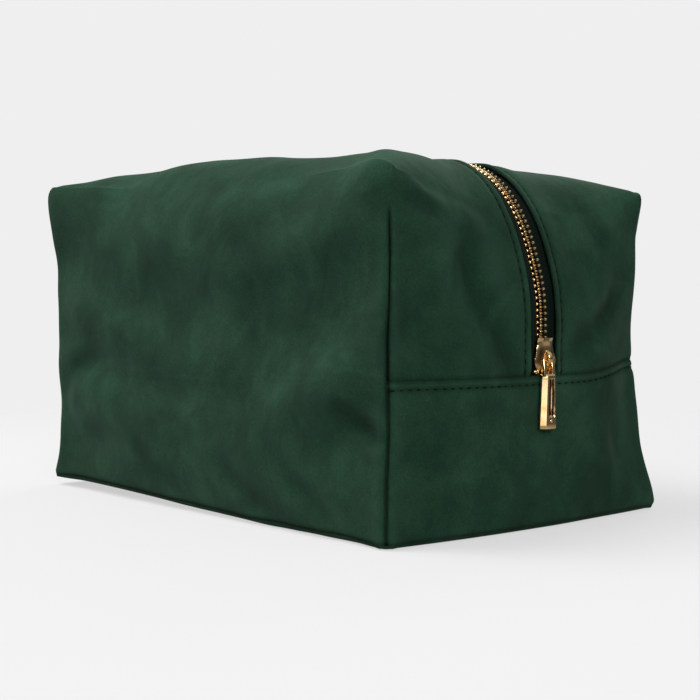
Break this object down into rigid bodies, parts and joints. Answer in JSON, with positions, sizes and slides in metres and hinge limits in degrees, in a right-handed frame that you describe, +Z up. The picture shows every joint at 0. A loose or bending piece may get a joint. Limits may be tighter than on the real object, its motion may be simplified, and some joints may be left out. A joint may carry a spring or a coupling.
{
  "type": "makeup bag",
  "caption": "Soft boxy zip makeup bag in suede-like cloth, with a metal zip over the top and down both ends, padded walls, a lining and a bar pull on the slider.",
  "frame": {"origin": "centre of the base's underside, on the surface that the bag stands on", "axes": "+X along the bag towards the end with the closed slider, -Y the front side, +Z up"},
  "size_m": [0.2535, 0.165, 0.148],
  "materials": {
    "suede": "dark bottle-green microsuede, brushed nap",
    "padding": "soft foam interlining",
    "lining": "plain woven satin lining",
    "board": "plain stiffener board",
    "tape": "woven zip tape, near-black green",
    "gold": "polished light gold"
  },
  "bodies": {
    "bag_body": {"base_panel": "suede", "base_board": "board", "base_lining": "lining", "front_panel": "suede", "front_padding": "padding", "front_lining": "lining", "back_panel": "suede", "back_padding": "padding", "back_lining": "lining", "right_end_panel": "suede", "right_end_padding": "padding", "right_end_lining": "lining", "left_end_panel": "suede", "left_end_padding": "padding", "left_end_lining": "lining", "front_upper_panel": "suede", "front_upper_padding": "padding", "front_upper_lining": "lining", "front_right_tape": "tape", "front_right_teeth": "gold", "front_left_tape": "tape", "front_left_teeth": "gold", "back_upper_panel": "suede", "back_upper_padding": "padding", "back_upper_lining": "lining", "back_right_tape": "tape", "back_right_teeth": "gold", "back_left_tape": "tape", "back_left_teeth": "gold", "right_zip_stop": "gold", "left_zip_stop": "gold", "slip_pocket": "lining"},
    "front_top": {"front_top_panel": "suede", "front_top_padding": "padding", "front_top_lining": "lining", "front_top_tape": "tape", "front_top_teeth": "gold"},
    "back_top": {"back_top_panel": "suede", "back_top_padding": "padding", "back_top_lining": "lining", "back_top_tape": "tape", "back_top_teeth": "gold"},
    "slider": {"slider_body": "gold", "slider_bridge": "gold"},
    "pull": {"pull_tab": "gold"}
  },
  "joints": [
    {"name": "front_half_open", "type": "hinge", "parent": "bag_body", "child": "front_top", "pos_m": [0, 0.02, 0.001], "axis": [1, 0, 0], "range_deg": [0, 20], "deforming": ["front_upper_panel", "front_upper_padding", "front_upper_lining", "front_right_tape", "front_right_teeth", "front_left_tape", "front_left_teeth"]},
    {"name": "back_half_open", "type": "hinge", "parent": "bag_body", "child": "back_top", "pos_m": [0, -0.02, 0.001], "axis": [-1, 0, 0], "range_deg": [0, 20], "deforming": ["back_upper_panel", "back_upper_padding", "back_upper_lining", "back_right_tape", "back_right_teeth", "back_left_tape", "back_left_teeth"]},
    {"name": "slider_travel", "type": "hinge", "parent": "bag_body", "child": "slider", "pos_m": [0, 0, 0.0701], "axis": [0, -1, 0], "range_deg": [0, 180]},
    {"name": "pull_swing", "type": "hinge", "parent": "slider", "child": "pull", "pos_m": [0.12666, 0, 0.0692], "axis": [0, -1, 0], "range_deg": [0, 160]}
  ],
  "couplings": [
    {"joint": "back_half_open", "follows": "front_half_open", "ratio": 1},
    {"joint": "slider_travel", "follows": "front_half_open", "ratio": 9}
  ]
}
